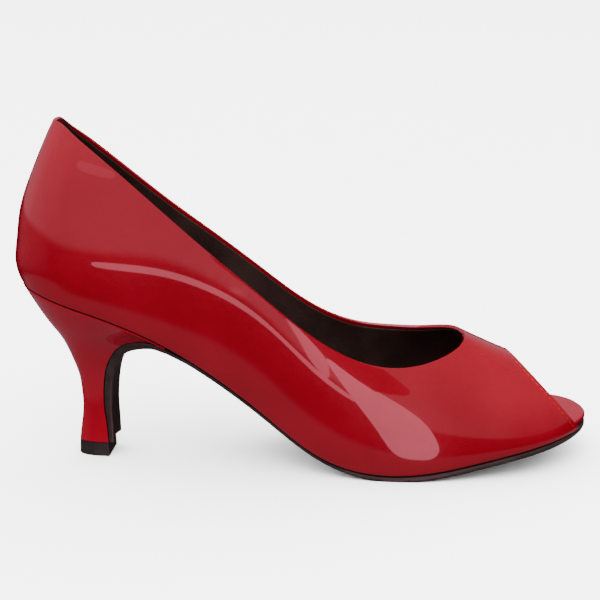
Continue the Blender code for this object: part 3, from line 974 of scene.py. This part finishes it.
# %% The sock
def sock_sheet(height, drawn_in):
    """The sock ends in a round front edge behind the toe opening."""
    stations = plate_stations(BACK, PLATE_ROWS)
    inset = np.full(stations.shape, UPPER_THICKNESS + GAP + drawn_in)
    sides = [outline(stations, side, inset) for side in (-1, 1)]
    front = TOE - SOCK_END
    kept = []
    for one, two in zip(*sides):
        row = across(one, two, lambda x: 0 * x)
        shares = np.linspace(-1, 1, len(row))
        reach = front - drawn_in - SOCK_FRONT_BOW * shares**2
        row[:, 0] = np.minimum(row[:, 0], reach)
        row[:, 2] = edge_height(row[:, 0]) + INSOLE_THICKNESS + height
        kept.append(row)
    count = sum(1 for row in kept if row[len(row) // 2, 0] < front - drawn_in - 1e-6) + 1
    kept = kept[:count]
    kept[0] = kept[0][:1]
    return [swing(row) for row in kept]


sock = stacked_piece(
    "insole_sock",
    [
        sock_sheet(SOCK_LIFT, SOCK_INSET),
        sock_sheet(SOCK_SHOULDER, SOCK_INSET),
        sock_sheet(SOCK_THICKNESS, SOCK_TOP_INSET),
    ],
    lining,
)
dress(sock, None)

# %% [markdown]
# ## The heel
# The heel is a moulded block covered in the upper's leather, in a copy with a lighter red that is
# painted light for the bounce light its downward faces don't get. Its levels run from the foot to
# the seat. Each has a back edge, a front edge and a half width from the heel's table, and an
# outline that changes from the foot's D to the seat's own shape.

# %% Levels of the heel
HEEL_LEVELS = 64
HEEL_COLUMNS = 30
HEEL_ACROSS = 14


def heel_columns():
    count = len(HEEL) - 1
    table = [(i / count, *row) for i, row in enumerate(HEEL)]
    names = ("back_x", "back_z", "front_x", "front_z", "width", "seat", "scoop", "flap")
    return {name: column(table, i + 1) for i, name in enumerate(names)}


def seat_outline(side):
    """The seat in plan from its front corner round to the back."""
    turns = np.linspace(0, math.pi / 2, HEEL_COLUMNS + 1)
    front = BACK + HEEL_SEAT_LENGTH
    stations = BACK + (front - BACK) * (1 - np.sin(turns))
    dense = np.linspace(BACK, front + 0.01, 400)
    flat = on_last(dense, np.zeros(400), side)[:, :2]
    along = np.gradient(flat, axis=0)
    inward = np.column_stack([along[:, 1], -along[:, 0]]) * side
    inward /= np.linalg.norm(inward, axis=1)[:, None]
    flat = flat + inward * HEEL_INSET
    back = flat[0, 0]
    wanted = back + (stations - BACK) * (front - back) / (front - BACK)
    half = np.interp(wanted, flat[:, 0], flat[:, 1])
    half[-1] = 0.0
    return np.column_stack([wanted, half])


def foot_outline(side, back, front, half):
    turns = np.linspace(0, math.pi / 2, HEEL_COLUMNS + 1)
    x = back + (front - back) * (1 - np.sin(turns))
    reach = (front - x) / (front - back)
    y = side * half * (1 - reach**HEEL_POWER) ** (1 / HEEL_POWER)
    return np.column_stack([x, y])


SEAT = {side: seat_outline(side) for side in (-1, 1)}
SEAT_BACK = SEAT[-1][-1, 0]
SEAT_FRONT = SEAT[-1][0, 0]
SEAT_HALF = np.abs(SEAT[-1][:, 1]).max()
heel_at = heel_columns()


def heel_frame(level):
    foot_back, foot_front = -TIP_DEPTH / 2 + TIP_FLARE, TIP_DEPTH / 2 - TIP_FLARE
    foot_half = TIP_WIDTH / 2
    back_top = edge_height(SEAT_BACK) - GAP - HEEL_LIP
    front_top = edge_height(SEAT_FRONT) - GAP - HEEL_LIP
    row = {name: float(values(level)) for name, values in heel_at.items()}
    return {
        "back": foot_back + row["back_x"] * (SEAT_BACK - foot_back),
        "front": foot_front + row["front_x"] * (SEAT_FRONT - foot_front),
        "back_z": HEEL_FOOT + row["back_z"] * (back_top - HEEL_FOOT),
        "front_z": HEEL_FOOT + row["front_z"] * (front_top - HEEL_FOOT),
        "half": foot_half + row["width"] * (SEAT_HALF - foot_half),
        "seat": row["seat"],
        "scoop": row["scoop"] * BREAST_SCOOP,
    }


def heel_sheet(level):
    """One level of the heel: rows from its front edge to its back."""
    edge = heel_frame(level)
    blend = edge["seat"]
    sides = []
    for side in (-1, 1):
        unit = foot_outline(side, 0.0, 1.0, 1.0)
        top = SEAT[side]
        reach = (top[:, 0] - top[-1, 0]) / (top[0, 0] - top[-1, 0])
        x = unit[:, 0] * (1 - blend) + reach * blend
        y = unit[:, 1] * (1 - blend) + top[:, 1] / SEAT_HALF * blend
        place = edge["back"] + x * (edge["front"] - edge["back"])
        sides.append(np.column_stack([place, y * edge["half"]]))
    rows = []
    for one, two in zip(*sides):
        shares = np.linspace(0, 1, HEEL_ACROSS + 1)[:, None]
        flat = one[None] * (1 - shares) + two[None] * shares
        forward = (flat[:, 0] - edge["back"]) / (edge["front"] - edge["back"])
        height = edge["back_z"] + forward * (edge["front_z"] - edge["back_z"])
        seat_x = SEAT_BACK + forward * (SEAT_FRONT - SEAT_BACK)
        straight = edge_height(SEAT_BACK) + forward * (
            edge_height(SEAT_FRONT) - edge_height(SEAT_BACK)
        )
        height = height + (edge_height(seat_x) - straight) * blend
        hollow = edge["scoop"] * (1 - (2 * shares[:, 0] - 1) ** 2) * forward**4
        rows.append(np.column_stack([flat[:, 0] - hollow, flat[:, 1], height]))
    rows[-1] = rows[-1][:1]
    return rows


levels = [heel_sheet(level) for level in np.linspace(0, 1, HEEL_LEVELS + 1)]
levels.append([row + (0.0, 0.0, HEEL_LIP) for row in levels[-1]])
heel = stacked_piece(
    "heel_covered", [[swing(row) for row in sheet] for sheet in levels], heel_patent_lit, 45.0
)
round_edges(heel, 0.00035, 3, 45.0)
dress(heel, "heel")

# %% [markdown]
# ## The outsole
# The outsole is one thin sheet. It follows the upper's lower edge from the toe to the arch,
# and then bends down the hollow front of the heel to the heel tip. Under the ball of the
# foot it is pressed flat.

# %% The outsole
SOLE_ROWS = 190
FLAP_ROWS = 70
sole_thickness_at = column(SOLE, 1, SOLE_THICKNESS, BACK, SHOE_LENGTH)
sole_margin_at = column(SOLE, 2, SOLE_MARGIN, BACK, SHOE_LENGTH)


def sole_rows():
    """Rows of the outsole's upper face from the toe, and the thickness at each."""
    start = BACK + HEEL_SEAT_LENGTH
    stations = plate_stations(BACK, SOLE_ROWS)
    sides = [outline(stations, side, -sole_margin_at(stations)) for side in (-1, 1)]
    rows = []
    thick = []
    for i in reversed(range(len(stations))):
        if stations[i] <= start + 2 * GAP:
            continue
        near = np.clip((start + SOLE_DROP - stations[i]) / SOLE_DROP, 0, 1)
        under = GAP + HEEL_LIP * near * near * (3 - 2 * near)
        row = across(sides[0][i], sides[1][i], lambda x: edge_height(x) - under)
        rows.append(row)
        thick.append(float(sole_thickness_at(stations[i])))
    forward = len(rows)
    for level in np.linspace(1.0, 0.0, FLAP_ROWS + 1):
        rows.append(heel_sheet(level)[0])
        thick.append(FLAP_THICKNESS * float(heel_at["flap"](level)))
    return rows, np.array(thick), forward


def outsole_sheets(profile):
    rows, thick, forward = sole_rows()
    middle = np.array([row[len(row) // 2] for row in rows])
    along = np.gradient(middle[:, [0, 2]], axis=0)
    along /= np.linalg.norm(along, axis=1)[:, None]
    down = np.column_stack([-along[:, 1], along[:, 0]])
    sheets = []
    for depth, drawn_in in profile:
        sheet = []
        for i, row in enumerate(rows):
            on_heel = i >= forward
            shift = thick[i] * depth + (GAP if on_heel else 0.0)
            moved = row.copy()
            half = max(abs(row[-1, 1] - row[0, 1]) / 2, 1e-9)
            centre = (row[-1, 1] + row[0, 1]) / 2
            moved[:, 1] = centre + (row[:, 1] - centre) * (1 - min(drawn_in / half, 0.9))
            moved[:, 0] += down[i, 0] * shift
            moved[:, 2] += down[i, 1] * shift
            if not on_heel:
                fading = np.clip(1 - moved[:, 2] / TREAD_FADE, 0, 1)
                moved[:, 2] = np.maximum(moved[:, 2] - TREAD_FLAT * depth * fading, 0.0)
            sheet.append(moved)
        sheet[0] = sheet[0][:1]
        sheets.append([swing(row) for row in sheet])
    return sheets


SOLE_EDGE = ((0.0, 0.0002), (0.12, 0.0), (0.80, 0.0), (0.95, 0.0002), (1.0, 0.0005))
outsole = stacked_piece("outsole_sheet", outsole_sheets(SOLE_EDGE), sole_resin, 50.0)
dress(outsole, "outsole")

# %% [markdown]
# ## The heel tip
# The heel tip is a small block of hard resin that wears away first. Its foot is a touch
# wider than its top.


# %% The heel tip
def tip_sheet(height, grown):
    back = -TIP_DEPTH / 2 + TIP_FLARE - grown
    front = TIP_DEPTH / 2 - TIP_FLARE + grown
    sides = [
        foot_outline(side, back, front, TIP_WIDTH / 2 - TIP_FLARE + grown)
        for side in (-1, 1)
    ]
    rows = [across(one, two, lambda x: 0 * x + height, 8) for one, two in zip(*sides)]
    rows[-1] = rows[-1][:1]
    return [swing(row) for row in rows]


tip_piece = stacked_piece(
    "heel_tip_block", [tip_sheet(0.0, TIP_FLARE), tip_sheet(TIP_HEIGHT, 0.0)], tip_resin, 50.0
)
round_edges(tip_piece, 0.00025, 2)
dress(tip_piece, "heel_tip")

# %% [markdown]
# ## Floor, light and camera
# Patent leather is all reflection. One great soft ceiling lights the shoe and the pale
# floor. What the lacquer mirrors is set apart from that: a dome with a pale sky, a dark belt
# low down and a little floor light, and glowing cards with rounded corners in front of the
# shoe. Only reflections see the dome and the cards, and they don't see the floor.


# %% The floor
def floor_finish():
    finish = Finish("pale_floor", Roughness=0.9, Specular_IOR_Level=0.05)
    paper = finish.noise(3.0, 3.0)
    finish.colour(finish.blend(paper, (0.965, 0.965, 0.965, 1.0), (0.985, 0.985, 0.985, 1.0)))
    return finish.material


def staged(name, vertices, faces, material):
    mesh = bpy.data.meshes.new(name)
    mesh.from_pydata([tuple(v) for v in vertices], [], faces)
    mesh.shade_smooth()
    mesh.materials.append(material)
    piece = bpy.data.objects.new(name, mesh)
    bpy.context.scene.collection.objects.link(piece)
    return piece


FLOOR_HALF = 8.0
FLOOR_HEIGHT = -0.00005
corners = [(-1, -1), (1, -1), (1, 1), (-1, 1)]
floor = staged(
    "floor",
    [(a * FLOOR_HALF, b * FLOOR_HALF, FLOOR_HEIGHT) for a, b in corners],
    [[0, 1, 2, 3]],
    floor_finish(),
)
floor.visible_glossy = False
floor.visible_diffuse = False
print("floor side:", 2 * FLOOR_HALF, "m")

# %% [markdown]
# ## What the lacquer mirrors
# The dome is a large ball round the shoe. Its glow is pale above, dark just below the
# horizon and a little lighter further down, where a floor would be. It fades towards the
# back and the toe and is brightest overhead. The cards are placed by their direction from
# the shoe. Dome and cards glow pink, because the view transform greys what a white light
# adds to deep red, and the highlights of the real shoe are pink.


# %% The dome and the cards
SHOE_MIDDLE = Vector((0.08, 0.0, 0.05))


def glow(name, shine, tint=(1.5, 0.84, 1.0)):
    """A material that only glows. shine gives the strength from the Finish."""
    finish = Finish(name, Roughness=1.0, Specular_IOR_Level=0.0)
    finish.colour((0.0, 0.0, 0.0, 1.0))
    finish.feed(finish.shader.inputs["Emission Strength"], 1.0)
    strength = shine(finish)
    shares = {0: strength * tint[0], 1: strength * tint[1], 2: strength * tint[2]}
    colour = finish.node("ShaderNodeCombineColor", {}, shares)
    finish.feed(finish.shader.inputs["Emission Color"], colour)
    return finish.material


def mirrored_only(piece):
    piece.visible_camera = False
    piece.visible_diffuse = False
    piece.visible_shadow = False
    piece.visible_transmission = False
    return piece


SKY_SHINE = 0.64
DARK_SHINE = 0.005
GROUND_SHINE = 0.22
TOP_SHINE = 0.15
RIM_SHINE = 2.0
LEFT_SHINE = 0.15
DOME_RADIUS = 6.0


def dome_shine(finish):
    height = finish.axis(2) / DOME_RADIUS
    cloud = finish.noise(0.35, 2.0)
    behind = (finish.axis(1) / DOME_RADIUS).between(0.0, 0.7)
    right = (finish.axis(0) / DOME_RADIUS).between(0.15, 0.75)
    left = (0.0 - finish.axis(0) / DOME_RADIUS).between(0.6, 0.95)
    above = height.between(-0.03, 0.04) * SKY_SHINE * (0.75 + 0.5 * cloud)
    above = above * (1.0 - 0.45 * behind) * (1.0 - 0.7 * right)
    below = (0.0 - height).between(0.36, 0.44) * GROUND_SHINE
    top = height.between(0.45, 0.95) * TOP_SHINE
    side = left * height.between(-0.5, -0.1) * LEFT_SHINE
    rim = height.between(0.84, 0.90) * RIM_SHINE
    return above + below + top + side + rim + DARK_SHINE


DOME_RINGS = 40
DOME_TURNS = 80
rings = np.linspace(0, math.pi, DOME_RINGS + 1)
turns = np.linspace(0, 2 * math.pi, DOME_TURNS + 1)[:-1]
ball = [
    SHOE_MIDDLE
    + DOME_RADIUS * Vector((math.sin(r) * math.cos(t), math.sin(r) * math.sin(t), math.cos(r)))
    for r in rings
    for t in turns
]
ball_faces = []
for ring in range(DOME_RINGS):
    for turn in range(DOME_TURNS):
        a = ring * DOME_TURNS + turn
        b = ring * DOME_TURNS + (turn + 1) % DOME_TURNS
        ball_faces.append([a, a + DOME_TURNS, b + DOME_TURNS, b])
mirrored_only(staged("mirrored_dome", ball, ball_faces, glow("dome_glow", dome_shine)))

CARD_POINTS = 48
CARD_TINT = (1.9, 0.66, 0.86)
CORNER_POWER = 0.6


def card_edge():
    """Points round a square of side 2 whose corners are rounded."""
    points = []
    for step in range(CARD_POINTS):
        turn = 2 * math.pi * step / CARD_POINTS
        parts = (math.cos(turn), math.sin(turn))
        points.append([math.copysign(abs(v) ** CORNER_POWER, v) for v in parts])
    return points


def card(name, azimuth, elevation, wide, high, strength, distance=1.0, tilt=0.0):
    """A glowing card in a direction from the shoe. Azimuth 0 is towards the camera."""
    a, e = math.radians(azimuth), math.radians(elevation)
    out = Vector((math.sin(a) * math.cos(e), -math.cos(a) * math.cos(e), math.sin(e)))
    right = Vector((math.cos(a), math.sin(a), 0.0))
    up = right.cross(out) * -1.0
    turn = Quaternion(out, math.radians(tilt))
    right.rotate(turn)
    up.rotate(turn)
    half_wide = distance * math.tan(math.radians(wide / 2))
    half_high = distance * math.tan(math.radians(high / 2))
    centre = SHOE_MIDDLE + out * distance
    places = [centre + right * (x * half_wide) + up * (z * half_high) for x, z in card_edge()]

    def tone(made):
        return made.noise(3.0) * 0.4 * strength + 0.8 * strength

    finish = glow(name + "_glow", tone, CARD_TINT)
    return mirrored_only(staged(name, places, [list(range(CARD_POINTS))], finish))


# name, azimuth, elevation, width and height in degrees, strength, distance in metres, tilt
card("front_card", 7.5, -10.0, 19.0, 37.0, 3.3)
card("strip_card", -7.6, -3.2, 12.0, 2.6, 2.8, 1.02)
card("splash_card", -3.0, 3.5, 13.0, 3.0, 2.8, 1.02, 54.0)
card("spot_card", -12.0, 26.0, 6.0, 3.0, 1.3, 1.02, -18.0)
card("dark_card", 9.5, 15.0, 28.0, 10.0, 0.01, 1.04, 38.0)
print("dome and cards are placed")


# %% [markdown]
# ## Lamps
# The ceiling is one lamp of ten by ten metres, so shadows are soft and the floor is even. A
# smaller key lamp in front lifts the side that the camera sees. The world fills in what
# faces down. No lamp shows in the lacquer.

# %% Ceiling, key and fill
CEILING_SIDE = 10.0
CEILING_WATTS = 1720.0
KEY_SIDE = 1.0
KEY_WATTS = 28.0
FILL_STRENGTH = 1.68


def lamp(name, place, aim, side, power):
    data = bpy.data.lights.new(name, "AREA")
    data.shape = "SQUARE"
    data.size = side
    data.energy = power
    made = bpy.data.objects.new(name, data)
    made.location = place
    made.rotation_euler = (Vector(aim) - Vector(place)).to_track_quat("-Z", "Y").to_euler()
    made.visible_glossy = False
    bpy.context.scene.collection.objects.link(made)
    return made


lamp("ceiling", (0.0, 1.0, 3.0), (0.0, 1.0, 0.0), CEILING_SIDE, CEILING_WATTS)
lamp("key", (-0.2, -1.3, 1.5), SHOE_MIDDLE, KEY_SIDE, KEY_WATTS)
world = bpy.data.worlds.new("studio")
world.use_nodes = True
fill = world.node_tree.nodes["Background"]
fill.inputs["Color"].default_value = (1.0, 1.0, 1.0, 1.0)
fill.inputs["Strength"].default_value = FILL_STRENGTH
bpy.context.scene.world = world

# %% [markdown]
# ## The camera
# The photograph looks at the outer side from a little above. Eye, aim and focal length were
# found by laying the solids' outline over the photograph's.

# %% The camera
EYE = (0.07701, -0.57743, 0.21669)
AIM = (0.08187, 0.00210, 0.06160)
FOCAL_LENGTH_MM = 91.08
camera_data = bpy.data.cameras.new("camera")
camera_data.sensor_width = 36.0
camera_data.lens = FOCAL_LENGTH_MM
camera_data.clip_start = 0.01
camera = bpy.data.objects.new("camera", camera_data)
camera.location = EYE
camera.rotation_euler = (Vector(AIM) - Vector(EYE)).to_track_quat("-Z", "Y").to_euler()
bpy.context.scene.collection.objects.link(camera)
bpy.context.scene.camera = camera
print("camera at", EYE)
